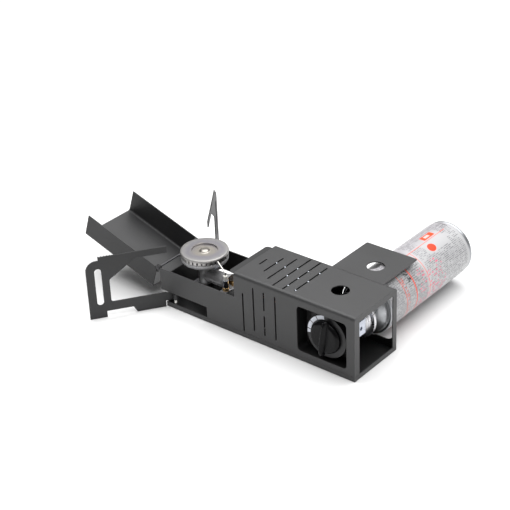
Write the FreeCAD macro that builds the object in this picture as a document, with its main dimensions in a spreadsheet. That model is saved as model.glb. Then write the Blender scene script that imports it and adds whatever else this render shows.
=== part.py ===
import FreeCAD, Part

import math
import os
import re

import Sketcher
from FreeCAD import Placement, Rotation, Vector

# A folding camping stove that runs on a butane cartridge lying behind it.
# Axes: +X along the body towards its open end, +Y to the back, +Z up.
# Origin: centre of the body's bottom face, in the plane the stove stands on.

# Driving sizes and places, in millimetres and degrees.
SIZES = {
    # body sheet metal
    "body_left": -140.0, "body_right": 140.0, "half_width": 39.5, "body_height": 80.0,
    "low_height": 48.5, "tall_left": -26.0, "plate": 1.2, "bend_radius": 4.0,
    "seam_height": 6.0, "tray_lip": 5.7, "tray_left": -132.0, "spare": 1.0,
    "notch_right": -69.0, "notch_top": 20.0,
    "lip_front": 8.8, "lip_back": 7.0, "lip_top": 7.5, "vent_width": 2.0, "vent_radius": 0.9,
    "window_left": 62.6, "window_right": 129.1, "window_bottom": 12.1, "window_top": 69.2,
    "window_radius": 5.0, "finger_radius": 10.35, "finger_across": 93.0,
    "tab_width": 10.0, "tab_height": 14.0, "end_wall_half": 36.0, "end_wall_top": 42.0,
    # knob and cartridge axis
    "axis_across": 99.5, "axis_height": 41.0, "panel_front": -21.3,
    "dial_radius": 26.0, "dial_front": -35.0, "mark_inner": 20.8, "mark_outer": 25.4, "mark_proud": 0.3,
    "knob_back": -35.6, "knob_radius": 19.6, "knob_skirt": 2.6, "knob_shoulder": 17.4, "knob_face": -41.2,
    "grip_front": -47.6, "grip_back": -39.8, "grip_half": 23.6, "grip_width": 7.0, "grip_lean": 8.0,
    "spindle_radius": 3.0, "knob_bore": 3.02, "spindle_end": -4.0, "bearing_radius": 3.05, "spindle_hole": 3.6,
    "cam_front": -18.4, "cam_back": -13.6, "cam_radius": 9.0, "cam_lobe": 12.3,
    # regulator
    "bracket_left": 78.0, "bracket_right": 131.0, "bracket_bottom": 23.0, "bracket_top": 59.0,
    "valve_radius": 16.0, "valve_back": 8.0, "recess_radius": 13.5, "recess_back": -13.0,
    "socket_radius": 21.5, "socket_back": 17.0, "flange_radius": 27.0, "flange_back": 21.0,
    "socket_bore": 15.0, "socket_floor": 13.0, "inlet_radius": 3.0,
    "outlet_radius": 6.5, "outlet_left": 76.0,
    "piezo_left": 119.0, "piezo_right": 129.0, "piezo_back": -4.0, "piezo_bottom": 40.0, "piezo_top": 60.0,
    "screw_radius": 1.5, "head_radius": 3.2, "head_height": 2.0,
    # gas line and burner
    "pipe_radius": 3.0, "pipe_bore": 2.0, "pipe_height": 35.0, "pipe_left": -50.0,
    "nut_radius": 5.6, "nut_length": 6.0, "jet_radius": 3.4, "jet_tip": -67.0,
    "burner_across": -103.0, "neck_radius": 8.5, "neck_bore": 6.5, "neck_bottom": 24.0,
    "bowl_bottom": 47.0, "bowl_radius": 27.0, "rim_bottom": 56.0, "rim_top": 60.0, "bowl_wall": 1.8,
    "mouth_left": -73.0, "mouth_right": -64.0, "mouth_radius": 11.0,
    "cap_radius": 28.0, "cap_top": 67.0, "port_width": 1.6, "port_depth": 5.0, "port_height": 3.6,
    "bridge_half": 13.0, "bridge_side": 13.0, "foot_length": 10.0,
    # igniter
    "electrode_across": -58.5, "electrode_depth": -16.0, "electrode_radius": 0.8,
    "ceramic_radius": 2.5, "ceramic_bottom": 31.0, "ceramic_top": 54.0,
    "holder_half": 4.5, "holder_height": 34.0, "holder_front": -22.0, "holder_back": -11.5,
    "gland_radius": 4.2, "gland_height": 3.6, "sleeve_radius": 3.3, "sleeve_top": 48.5,
    "electrode_top": 58.0, "tip_reach": 31.0, "tip_height": 65.0,
    "target_width": 8.0, "target_reach": 34.0,
    "lead_radius": 1.2, "lead_height": 2.7, "lead_depth": -14.0,
    # lid
    "hinge_across": -142.0, "hinge_height": 48.0, "ear_radius": 3.2, "rod_radius": 1.25, "rod_bore": 1.3,
    "lid_edge": 48.9, "lid_right": -26.6, "lid_open": 161.7, "ear_outer": 37.9, "ear_inner": 36.7,
    "ear_relief": 4.2, "rod_head": 2.3,
    # folding arms
    "arm_angle": 55.0, "arm_reach": 141.1, "arm_plate": 1.5, "arm_top": 80.2, "tooth_top": 81.0,
    "tooth_pitch": 3.4, "arm_shoulder": 75.8, "step_at": 15.5, "arm_inner": 96.0,
    "rail_bottom": 71.8, "rail_start": 58.5, "brace_mid": 47.0, "brace_height": 63.4,
    "post_inner": 26.7, "brace_bottom": 49.2, "beam_top": 19.2, "beam_bottom": 7.8, "foot_width": 20.5,
    "heel_start": 54.0, "heel_end": 91.0, "beam_end": 103.5, "knuckle_top": 18.4, "knuckle_bottom": 10.9,
    "slot_left": 10.0, "slot_right": 18.0, "slot_bottom": 16.9, "slot_top": 65.5,
    "pin_across": -120.2, "pin_depth": -35.5, "pin_radius": 1.5, "knuckle_bore": 1.55,
    "knuckle_radius": 3.2, "pin_collar": 2.7, "collar_top": 10.4, "support_bottom": 20.4, "support_top": 33.0,
    "support_half": 7.0, "support_depth": 8.0,
    # bay wall with the rest strip
    "rest_left": -35.5, "rest_front": -36.0, "rest_back": 33.0, "rest_top": 78.4,
    # sliding heat shield
    "shield_left": 53.2, "shield_right": 122.2, "shield_inner": 31.7, "shield_outer": 106.7,
    "shield_bottom": 77.2, "shield_top": 78.4, "stop_width": 2.0, "stop_length": 4.5,
    "shield_hole": 67.0, "guide_left": 49.5, "guide_right": 125.9, "guide_bottom": 75.4, "guide_width": 7.0,
    "slot_floor": 75.6, "slot_play": 0.8,
    # cartridge
    "can_radius": 34.0, "can_wall": 0.5, "can_front": 42.6, "can_back": 203.0, "can_end": 208.0,
    "hole_radius": 33.6, "hole_half": 37.0, "hole_bottom": 10.2, "hole_top": 72.0, "hole_corner": 10.0,
    "dome_front": 27.0, "dome_radius": 15.0, "dome_back": 39.0, "dome_outer": 31.0,
    "seam_radius": 31.6, "seam_tube": 1.8, "collar_radius": 13.0, "collar_front": 19.0,
    "stem_radius": 1.8, "stem_tip": 15.0,
}

# Vent slots of the front wall (along X, from Z, to Z) and of the top (along X, from Y, to Y).
FRONT_VENTS = ((-13.6, 7.5, 58.3), (1.7, 13.8, 70.2), (16.7, 12.7, 38.7), (16.7, 45.3, 69.6), (32.6, 12.8, 69.5))
TOP_VENTS = ((-14.6, -7.2, 6.9), (-0.6, -16.3, 19.0), (12.9, -26.8, 26.6), (26.6, -35.0, 35.0),
             (40.1, -35.0, 35.0), (53.2, -30.4, 30.1))
# Printed dial segments, in degrees from +X towards +Z.
DIAL_SEGMENTS = ((97, 122), (125, 147), (150, 173), (176, 186))
# Screws: bracket screws (along X, Z) and burner screws (along X, Y).
BRACKET_SCREWS = ((82, 28), (117, 28), (82, 54))
BURNER_SCREWS = ((-121, 0), (-85, 0))
# Clips that hold the ignition lead down on the tray, and the lead's route.
LEAD_CLIPS = (0, 62)
LEAD_BEND = 6.0

document = FreeCAD.newDocument("camping_stove")
sheet = document.addObject("Spreadsheet::Sheet", "Sizes")
for row, (alias, value) in enumerate(SIZES.items(), start=1):
    sheet.set(f"A{row}", alias)
    sheet.set(f"B{row}", str(value))
    sheet.setAlias(f"B{row}", alias)
document.recompute()

parts = []


# ---------------------------------------------------------------- helpers

def qualified(formula):
    """Write a formula's size names the way the document's expressions want them."""
    def word(match):
        return "Sizes." + match.group() if match.group() in SIZES else match.group()
    return re.sub(r"[a-z][a-z_]*", word, str(formula))


def number(formula):
    """The value of a formula in the sheet's sizes."""
    return float(sheet.evalExpression(qualified(formula)))


def bind(thing, prop, formula):
    thing.setExpression(prop, qualified(formula))


def sub_part(name, thing):
    """Mark an object as a sub-part that gets a file of its own."""
    thing.Label = name
    parts.append(thing)
    return thing


def box(name, across, depth, height):
    """A block from low to high along X, Y and Z."""
    block = document.addObject("Part::Box", name)
    for side, axis, (low, high) in (("Length", "x", across), ("Width", "y", depth), ("Height", "z", height)):
        bind(block, side, f"({high}) - ({low})")
        bind(block, f"Placement.Base.{axis}", low)
    return block


TURN_TO = {"x": Rotation(Vector(0, 1, 0), 90), "y": Rotation(Vector(1, 0, 0), -90), "z": Rotation()}


def lay_along(solid, axis, centre, low):
    """Turn a round solid to an axis and put its start at low, on the centre given by the other two axes."""
    solid.Placement = Placement(Vector(), TURN_TO[axis])
    bind(solid, f"Placement.Base.{axis}", low)
    for other, place in zip([one for one in "xyz" if one != axis], centre):
        bind(solid, f"Placement.Base.{other}", place)
    return solid


def rod(name, axis, centre, radius, low, high):
    solid = document.addObject("Part::Cylinder", name)
    bind(solid, "Radius", radius)
    bind(solid, "Height", f"({high}) - ({low})")
    return lay_along(solid, axis, centre, low)


def cone(name, axis, centre, low_radius, high_radius, low, high):
    solid = document.addObject("Part::Cone", name)
    bind(solid, "Radius1", low_radius)
    bind(solid, "Radius2", high_radius)
    bind(solid, "Height", f"({high}) - ({low})")
    return lay_along(solid, axis, centre, low)


def hex_bar(name, axis, centre, radius, low, high):
    solid = document.addObject("Part::Prism", name)
    solid.Polygon = 6
    bind(solid, "Circumradius", radius)
    bind(solid, "Height", f"({high}) - ({low})")
    return lay_along(solid, axis, centre, low)


def ring(name, axis, centre, major, minor, place):
    solid = document.addObject("Part::Torus", name)
    bind(solid, "Radius1", major)
    bind(solid, "Radius2", minor)
    return lay_along(solid, axis, centre, place)


def fuse(name, solids):
    joined = document.addObject("Part::MultiFuse", name)
    joined.Shapes = solids
    joined.Refine = True
    return joined


def cut(name, base, tools):
    tool = tools[0] if len(tools) == 1 else fuse(name + "_tools", tools)
    result = document.addObject("Part::Cut", name)
    result.Base = base
    result.Tool = tool
    result.Refine = True
    return result


def rounded(name, base, axis, radius, chosen=lambda middle: True):
    """Round the edges of a solid that run along an axis and pass the choice."""
    document.recompute()
    direction = {"x": Vector(1, 0, 0), "y": Vector(0, 1, 0), "z": Vector(0, 0, 1)}[axis]
    size = number(radius)
    picked = []
    for index, edge in enumerate(base.Shape.Edges, start=1):
        along = edge.Vertexes[-1].Point - edge.Vertexes[0].Point
        if along.Length > 0 and abs(along.normalize().dot(direction)) > 0.999 and chosen(edge.CenterOfMass):
            picked.append((index, size, size))
    result = document.addObject("Part::Fillet", name)
    result.Base = base
    result.Edges = picked
    return result


def mirrored(name, source):
    """The same piece reflected from the front side to the back side."""
    copy = document.addObject("Part::Mirroring", name)
    copy.Source = source
    copy.Normal = Vector(0, 1, 0)
    return copy


def turn_about(thing, point, axis, angle):
    turn = Rotation(axis, angle)
    thing.Placement = Placement(point - turn.multVec(point), turn)


def new_body(name):
    return document.addObject("PartDesign::Body", name)


def sketch_on(body, name, plane, offset="0"):
    """A sketch on one of the body's own origin planes, moved along the plane's normal."""
    sketch = body.newObject("Sketcher::SketchObject", name)
    planes = {feature.Role: feature for feature in body.Origin.OriginFeatures}
    sketch.AttachmentSupport = [(planes[plane], "")]
    sketch.MapMode = "FlatFace"
    bind(sketch, "AttachmentOffset.Base.z", offset)
    return sketch


def polygon(sketch, corners):
    """A closed outline whose corners are held by formulas."""
    values = [Vector(number(across), number(up), 0) for across, up in corners]
    first = sketch.GeometryCount
    count = len(values)
    for index in range(count):
        sketch.addGeometry(Part.LineSegment(values[index], values[(index + 1) % count]))
    for index, (across, up) in enumerate(corners):
        line = first + index
        sketch.addConstraint(Sketcher.Constraint("Coincident", line, 2, first + (index + 1) % count, 1))
        for kind, formula, value in (("DistanceX", across, values[index].x), ("DistanceY", up, values[index].y)):
            held = sketch.addConstraint(Sketcher.Constraint(kind, -1, 1, line, 1, value))
            bind(sketch, f"Constraints[{held}]", formula)


def circle(sketch, across, up, radius):
    line = sketch.addGeometry(Part.Circle(Vector(number(across), number(up), 0), Vector(0, 0, 1), number(radius)))
    held = sketch.addConstraint(Sketcher.Constraint("Radius", line, number(radius)))
    bind(sketch, f"Constraints[{held}]", radius)
    for kind, formula in (("DistanceX", across), ("DistanceY", up)):
        held = sketch.addConstraint(Sketcher.Constraint(kind, -1, 1, line, 3, number(formula)))
        bind(sketch, f"Constraints[{held}]", formula)


def rectangle(sketch, across, up):
    low_across, high_across = across
    low_up, high_up = up
    polygon(sketch, [(low_across, low_up), (high_across, low_up), (high_across, high_up), (low_across, high_up)])


def pad(body, sketch, length, midplane=False, reverse=False):
    feature = body.newObject("PartDesign::Pad", sketch.Name + "_pad")
    feature.Profile = sketch
    feature.Midplane = midplane
    feature.Reversed = reverse
    bind(feature, "Length", length)
    document.recompute()
    return feature


def pocket(body, sketch, length, midplane=False, reverse=False):
    before = body.Shape.Volume
    feature = body.newObject("PartDesign::Pocket", sketch.Name + "_pocket")
    feature.Profile = sketch
    feature.Midplane = midplane
    feature.Reversed = reverse
    bind(feature, "Length", length)
    document.recompute()
    if body.Shape.Volume >= before - 1e-6:
        raise RuntimeError(sketch.Name + " cuts nothing")
    return feature


def round_corners(body, name, axis, places, radius):
    """Fillet the edges of a body that run along an axis (x, y or z) through the given places."""
    others = [index for index in range(3) if index != "xyz".index(axis)]
    base = body.Tip
    names = []
    for index, edge in enumerate(base.Shape.Edges, start=1):
        middle = edge.CenterOfMass
        for place in places:
            near = all(abs(middle[other] - wanted) < 0.05 for other, wanted in zip(others, place))
            if near and f"Edge{index}" not in names:
                names.append(f"Edge{index}")
    feature = body.newObject("PartDesign::Fillet", name)
    feature.Base = (base, names)
    bind(feature, "Radius", radius)
    document.recompute()
    return feature


# ---------------------------------------------------------------- body shell

ACROSS_BODY = ("-half_width", "half_width")
INSIDE_BODY = ("plate - half_width", "half_width - plate")
FRONT_SHEET = ("-half_width", "plate - half_width")
BACK_SHEET = ("half_width - plate", "half_width")


def bent_channel(name, across, bottom):
    """Outer and inner blocks of an upside-down channel whose two long top edges are bent round."""
    left, right = across
    top = number("body_height") - 0.5
    outer = rounded(name + "_outer", box(name + "_outer_block", across, ACROSS_BODY, (bottom, "body_height")),
                    "x", "bend_radius", lambda middle: middle.z > top)
    hollow = (f"{left} - spare", f"{right} + spare")
    inner_top = number("body_height - plate") - 0.5
    inner = rounded(name + "_inner", box(name + "_inner_block", hollow, INSIDE_BODY,
                                         (f"{bottom} - spare", "body_height - plate")),
                    "x", "bend_radius - plate", lambda middle: middle.z > inner_top)
    return outer, inner


def cartridge_hole():
    round_hole = rod("cartridge_round_hole", "y", ("axis_across", "axis_height"), "hole_radius",
                     "half_width - plate - spare", "half_width + spare")
    square_hole = rounded("cartridge_square_hole",
                          box("cartridge_square_block", ("axis_across", "axis_across + hole_half"),
                              ("half_width - plate - spare", "half_width + spare"), ("hole_bottom", "hole_top")),
                          "y", "hole_corner")
    return [round_hole, square_hole]


def build_top_shell():
    outer, inner = bent_channel("shell", ("tall_left", "body_right"), "seam_height")
    channel = cut("shell_channel", outer, [inner])
    end_slab = document.addObject("Part::Common", "end_slab")
    end_slab.Base = inner
    end_slab.Tool = box("end_block", ("body_right - plate", "body_right"), ACROSS_BODY,
                        ("seam_height", "body_height"))
    end_opening = box("end_opening", ("body_right - plate - spare", "body_right + spare"),
                      ("lip_front - half_width", "half_width - lip_back"),
                      ("seam_height - spare", "body_height - lip_top"))
    sub_part("end_frame", cut("end_frame", end_slab, [end_opening]))
    pieces = [channel]
    for side, sheet_span in (("front", FRONT_SHEET), ("back", BACK_SHEET)):
        pieces.append(box(f"{side}_low_wall", ("body_left", "tall_left"), sheet_span,
                          ("seam_height", "low_height")))
        pieces.append(rod(f"{side}_wall_ear", "y", ("hinge_across", "hinge_height"), "ear_radius", *sheet_span))
        pieces.append(box(f"{side}_wall_ear_root", ("hinge_across", "body_left + spare"), sheet_span,
                          ("hinge_height - ear_radius", "low_height")))
    blank = fuse("shell_blank", pieces)

    front_cut = ("-half_width - spare", "plate - half_width + spare")
    top_cut = ("body_height - plate - spare", "body_height + spare")
    tools = cartridge_hole()
    tools.append(box("arm_notch", ("body_left - spare", "notch_right"), ("-half_width - spare", "half_width + spare"),
                     ("seam_height - spare", "notch_top")))
    tools.append(rod("hinge_holes", "y", ("hinge_across", "hinge_height"), "rod_radius",
                     "-half_width - spare", "half_width + spare"))
    tools.append(rounded("window", box("window_block", ("window_left", "window_right"), front_cut,
                                       ("window_bottom", "window_top")), "y", "window_radius"))
    tools.append(rod("finger_hole", "z", ("finger_across", "0"), "finger_radius", *top_cut))
    tools.append(box("shield_slot", ("shield_left - slot_play", "shield_right + slot_play"),
                     ("half_width - bend_radius - spare", "half_width + spare"),
                     ("slot_floor", "body_height - plate")))
    for index, (across, low, high) in enumerate(FRONT_VENTS):
        block = box(f"front_vent_block_{index}", (f"{across} - vent_width / 2", f"{across} + vent_width / 2"),
                    front_cut, (low, high))
        tools.append(rounded(f"front_vent_{index}", block, "y", "vent_radius"))
    for index, (across, low, high) in enumerate(TOP_VENTS):
        block = box(f"top_vent_block_{index}", (f"{across} - vent_width / 2", f"{across} + vent_width / 2"),
                    (low, high), top_cut)
        tools.append(rounded(f"top_vent_{index}", block, "z", "vent_radius"))
    sub_part("top_shell", cut("top_shell", blank, tools))


def build_bottom_tray():
    block = box("tray_block", ("tray_left", "body_right"), ACROSS_BODY, ("0", "tray_lip"))
    hollow = box("tray_hollow", ("tray_left + plate", "body_right - plate"), INSIDE_BODY,
                 ("plate", "tray_lip + spare"))
    pan = cut("tray_pan", block, [hollow])
    end_wall = box("tray_end_wall", ("tray_left", "tray_left + plate"), ("-end_wall_half", "end_wall_half"),
                   ("0", "end_wall_top"))
    tabs = []
    for place, across in (("left", "-8"), ("right", "42")):
        for side, depth in (("front", ("plate - half_width", "2 * plate - half_width")),
                            ("back", ("half_width - 2 * plate", "half_width - plate"))):
            tabs.append(box(f"tray_tab_{place}_{side}", (across, f"{across} + tab_width"), depth,
                            ("plate", "tab_height")))
    holes = [rod(f"tray_hole_{index}", "z", (across, depth), "screw_radius", "-spare", "plate + spare")
             for index, (across, depth) in enumerate(BURNER_SCREWS)]
    sub_part("bottom_tray", cut("bottom_tray", fuse("tray_blank", [pan, end_wall] + tabs), holes))


def build_bay_wall():
    """Wall between the burner bay and the gas bay; its top flange carries the lid's end and the pan."""
    lower = box("bay_wall_sheet", ("tall_left + 0.1", "tall_left + plate + 0.1"), INSIDE_BODY,
                ("plate", "body_height - bend_radius"))
    upper = box("bay_wall_head", ("tall_left + 0.1", "tall_left + plate + 0.1"),
                ("bend_radius - half_width", "half_width - bend_radius"), ("plate", "rest_top"))
    flange = rounded("rest_strip", box("rest_strip_block", ("rest_left", "tall_left + plate + 0.1"),
                                       ("rest_front", "rest_back"), ("rest_top - plate", "rest_top")),
                     "z", "bend_radius", lambda middle: middle.x < number("rest_left") + 1)
    blank = fuse("bay_wall_blank", [lower, upper, flange])
    pipe_hole = rod("pipe_hole", "x", ("0", "pipe_height"), "pipe_radius + 0.4",
                    "tall_left - spare", "tall_left + plate + spare")
    lead_hole = rod("lead_hole", "x", ("lead_depth", "lead_height"), "lead_radius + 0.5",
                    "tall_left - spare", "tall_left + plate + spare")
    sub_part("bay_wall", cut("bay_wall", blank, [pipe_hole, lead_hole]))


# ---------------------------------------------------------------- controls

def build_control_panel():
    outer = rounded("panel_outer", box("panel_outer_block", ("window_left - plate", "window_right + plate"),
                                       ("plate - half_width", "panel_front + plate"),
                                       ("window_bottom - plate", "window_top + plate")),
                    "y", "window_radius + plate")
    inner = rounded("panel_inner", box("panel_inner_block", ("window_left", "window_right"),
                                       ("plate - half_width - spare", "panel_front"),
                                       ("window_bottom", "window_top")), "y", "window_radius")
    dish = cut("panel_dish", outer, [inner])
    axis = ("axis_across", "axis_height")
    boss = rod("dial_boss", "y", axis, "dial_radius", "dial_front", "panel_front")
    blank = fuse("panel_blank", [dish, boss])
    holes = [rod("spindle_hole_tool", "y", axis, "spindle_hole", "dial_front - spare", "panel_front + plate + spare")]
    for index, (across, height) in enumerate(BRACKET_SCREWS):
        holes.append(rod(f"panel_screw_hole_{index}", "y", (across, height), "screw_radius",
                         "panel_front - spare", "panel_front + plate + spare"))
    sub_part("control_panel", cut("control_panel", blank, holes))


def dial_segment(start, stop):
    """One printed ring segment on the dial's front face."""
    centre = Vector(number("axis_across"), number("dial_front"), number("axis_height"))

    def on_ring(radius, angle):
        turn = math.radians(angle)
        return centre + Vector(radius * math.cos(turn), 0, radius * math.sin(turn))

    inner = number("mark_inner")
    outer = number("mark_outer")
    middle = (start + stop) / 2
    edges = [Part.Arc(on_ring(outer, start), on_ring(outer, middle), on_ring(outer, stop)).toShape(),
             Part.makeLine(on_ring(outer, stop), on_ring(inner, stop)),
             Part.Arc(on_ring(inner, stop), on_ring(inner, middle), on_ring(inner, start)).toShape(),
             Part.makeLine(on_ring(inner, start), on_ring(outer, start))]
    return Part.Face(Part.Wire(edges)).extrude(Vector(0, -number("mark_proud"), 0))


def build_dial_marks():
    marks = document.addObject("Part::Feature", "dial_marks")
    marks.Shape = Part.makeCompound([dial_segment(start, stop) for start, stop in DIAL_SEGMENTS])
    sub_part("dial_marks", marks)


def build_control_knob():
    """A round skirt with a tall grip across it, drawn about its own axis and then put in place."""
    knob = new_body("knob_body")
    skirt = sketch_on(knob, "knob_skirt_sketch", "XY_Plane")
    polygon(skirt, [("0", "knob_face"), ("knob_shoulder", "knob_face"),
                    ("knob_radius", "knob_back - knob_skirt"), ("knob_radius", "knob_back"),
                    ("knob_bore", "knob_back"), ("knob_bore", "knob_face + 1.6"),
                    ("0", "knob_face + 1.6")])
    turned = knob.newObject("PartDesign::Revolution", "knob_skirt_turned")
    turned.Profile = skirt
    turned.ReferenceAxis = (skirt, ["V_Axis"])
    turned.Angle = 360
    document.recompute()
    grip = sketch_on(knob, "knob_grip_sketch", "XZ_Plane", "-grip_back")
    rectangle(grip, ("-grip_width / 2", "grip_width / 2"), ("-grip_half", "grip_half"))
    pad(knob, grip, "grip_back - grip_front")
    half_width = number("grip_width") / 2
    half_length = number("grip_half")
    corners = [(side * half_width, end * half_length) for side in (-1, 1) for end in (-1, 1)]
    round_corners(knob, "knob_grip_ends", "y", corners, "grip_width * 0.46")
    knob.Placement = Placement(Vector(), Rotation(Vector(0, 1, 0), number("grip_lean")))
    bind(knob, "Placement.Base.x", "axis_across")
    bind(knob, "Placement.Base.z", "axis_height")
    sub_part("control_knob", knob)


def build_spindle():
    axis = ("axis_across", "axis_height")
    sub_part("valve_spindle", rod("spindle", "y", axis, "spindle_radius", "knob_face + 1.6", "spindle_end"))
    disc = rod("cam_disc", "y", axis, "cam_radius", "cam_front", "cam_back")
    lobe = box("cam_lobe_block", ("axis_across - 2", "axis_across + 2"), ("cam_front", "cam_back"),
               ("axis_height", "axis_height + cam_lobe"))
    blank = fuse("cam_blank", [disc, lobe])
    hole = rod("cam_hole", "y", axis, "spindle_radius", "cam_front - spare", "cam_back + spare")
    sub_part("igniter_cam", cut("igniter_cam", blank, [hole]))


# ---------------------------------------------------------------- regulator and igniter drive

def build_regulator():
    axis = ("axis_across", "axis_height")
    plate_back = "panel_front + 2 * plate"
    bracket = box("bracket_plate", ("bracket_left", "bracket_right"), ("panel_front + plate", plate_back),
                  ("bracket_bottom", "bracket_top"))
    holes = [rod("bracket_spindle_hole", "y", axis, "spindle_hole", "panel_front", "panel_front + 4 * plate")]
    for index, (across, height) in enumerate(BRACKET_SCREWS):
        holes.append(rod(f"bracket_screw_hole_{index}", "y", (across, height), "screw_radius",
                         "panel_front", "panel_front + 4 * plate"))
    sub_part("regulator_bracket", cut("regulator_bracket", bracket, holes))

    drum = rod("valve_drum", "y", axis, "valve_radius", plate_back, "valve_back")
    outlet = rod("outlet_boss", "x", ("0", "pipe_height"), "outlet_radius", "outlet_left", "axis_across - 8")
    cavities = [rod("cam_recess", "y", axis, "recess_radius", "panel_front", "recess_back"),
                rod("spindle_bearing", "y", axis, "bearing_radius", "recess_back - spare", "spindle_end + 0.5"),
                rod("gas_inlet", "y", axis, "inlet_radius", "spindle_end + 4", "valve_back + spare"),
                rod("outlet_bore", "x", ("0", "pipe_height"), "pipe_bore", "outlet_left - spare",
                    "outlet_left + 6")]
    sub_part("regulator_body", cut("regulator_body", fuse("valve_blank", [drum, outlet]), cavities))

    collar = rod("socket_collar", "y", axis, "socket_radius", "valve_back", "socket_back")
    flange = rod("socket_flange", "y", axis, "flange_radius", "socket_back", "flange_back")
    bores = [rod("socket_bore_tool", "y", axis, "socket_bore", "socket_floor", "flange_back + spare"),
             rod("socket_inlet", "y", axis, "inlet_radius", "valve_back - spare", "socket_floor + spare")]
    sub_part("regulator_socket", cut("regulator_socket", fuse("socket_blank", [collar, flange]), bores))
    sub_part("socket_seal", ring("seal", "y", axis, "inlet_radius + 2", "0.9", "socket_floor + 0.9"))

    screws = []
    for index, (across, height) in enumerate(BRACKET_SCREWS):
        shank = rod(f"bracket_shank_{index}", "y", (across, height), "screw_radius", "panel_front", plate_back)
        head = rod(f"bracket_head_{index}", "y", (across, height), "head_radius", plate_back,
                   f"{plate_back} + head_height")
        screws.append(fuse(f"bracket_screw_{index}", [shank, head]))
    sub_part("bracket_screws", fuse("bracket_screws", screws))


def build_piezo():
    case = rounded("piezo_case", box("piezo_block", ("piezo_left", "piezo_right"),
                                     ("panel_front + 2 * plate", "piezo_back"), ("piezo_bottom", "piezo_top")),
                   "y", "1.5")
    eye = rod("piezo_eye", "x", ("piezo_back - 8.0", "axis_height + 9"), "2.3", "piezo_right - 3",
              "piezo_right + spare")
    sub_part("piezo_igniter", cut("piezo_igniter", case, [eye]))


def rounded_route(points, radius):
    """Straight runs joined by tangent arcs of one radius."""
    edges = []
    start = points[0]
    for before, corner, after in zip(points, points[1:], points[2:]):
        incoming = (corner - before).normalize()
        outgoing = (after - corner).normalize()
        half_turn = incoming.getAngle(outgoing) / 2
        reach = radius * math.tan(half_turn)
        enter = corner - incoming * reach
        leave = corner + outgoing * reach
        inward = (outgoing - incoming).normalize()
        middle = corner + inward * (radius / math.cos(half_turn) - radius)
        edges.append(Part.makeLine(start, enter))
        edges.append(Part.Arc(enter, middle, leave).toShape())
        start = leave
    edges.append(Part.makeLine(start, points[-1]))
    return Part.Wire(edges)


def build_ignition_lead():
    """High-voltage lead from the piezo down to the tray, along it in clips, and up to the electrode."""
    low = number("lead_height")
    depth = number("lead_depth")
    electrode = (number("electrode_across"), number("electrode_depth"))
    piezo_middle = number("(piezo_left + piezo_right) / 2")
    points = [Vector(electrode[0], electrode[1], number("ceramic_bottom")),
              Vector(electrode[0], electrode[1], low + 7),
              Vector(electrode[0] + 9, depth, low),
              Vector(piezo_middle - 14, depth, low),
              Vector(piezo_middle, number("piezo_back") - 7.5, low + 9),
              Vector(piezo_middle, number("piezo_back") - 7.5, number("piezo_bottom"))]
    route = rounded_route(points, LEAD_BEND)
    radius = number("lead_radius")
    section = Part.Wire(Part.makeCircle(radius, points[0], Vector(0, 0, -1)))
    lead = document.addObject("Part::Feature", "ignition_lead")
    lead.Shape = Part.Wire(route.Edges).makePipeShell([section], True, False)
    expected = math.pi * radius ** 2 * route.Length
    print("ignition lead: length %.1f mm, arcs of %.1f mm, volume ratio %.3f"
          % (route.Length, LEAD_BEND, lead.Shape.Volume / expected))
    sub_part("ignition_lead", lead)

    clips = []
    for index, across in enumerate(LEAD_CLIPS):
        saddle = box(f"clip_saddle_{index}", (f"{across} - 3", f"{across} + 3"),
                     ("lead_depth - 4.5", "lead_depth + 4.5"), ("plate", "lead_height + lead_radius + 1"))
        groove = rod(f"clip_groove_{index}", "x", ("lead_depth", "lead_height"), "lead_radius + 0.05",
                     f"{across} - 3 - spare", f"{across} + 3 + spare")
        clips.append(cut(f"clip_{index}", saddle, [groove]))
    sub_part("lead_clips", fuse("lead_clips", clips))


# ---------------------------------------------------------------- gas line and burner

def build_gas_line():
    line = ("0", "pipe_height")
    pipe = rod("pipe_outside", "x", line, "pipe_radius", "pipe_left", "outlet_left")
    sub_part("gas_pipe", cut("gas_pipe", pipe, [rod("pipe_inside", "x", line, "pipe_bore",
                                                    "pipe_left - spare", "outlet_left + spare")]))
    nuts = []
    for place, low in (("jet", "pipe_left"), ("valve", "outlet_left - nut_length")):
        nut = hex_bar(f"{place}_nut_block", "x", line, "nut_radius", low, f"{low} + nut_length")
        nuts.append(cut(f"{place}_nut", nut, [rod(f"{place}_nut_bore", "x", line, "pipe_radius",
                                                  f"{low} - spare", f"{low} + nut_length + spare")]))
    sub_part("union_nuts", fuse("union_nuts", nuts))
    holder = hex_bar("jet_holder", "x", line, "nut_radius - 0.8", "pipe_left - nut_length", "pipe_left")
    barrel = rod("jet_barrel", "x", line, "jet_radius", "pipe_left - nut_length - 5", "pipe_left - nut_length")
    tip = cone("jet_point", "x", line, "jet_radius / 2", "jet_radius", "jet_tip", "pipe_left - nut_length - 5")
    sub_part("jet_nozzle", fuse("jet_nozzle", [holder, barrel, tip]))


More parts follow.
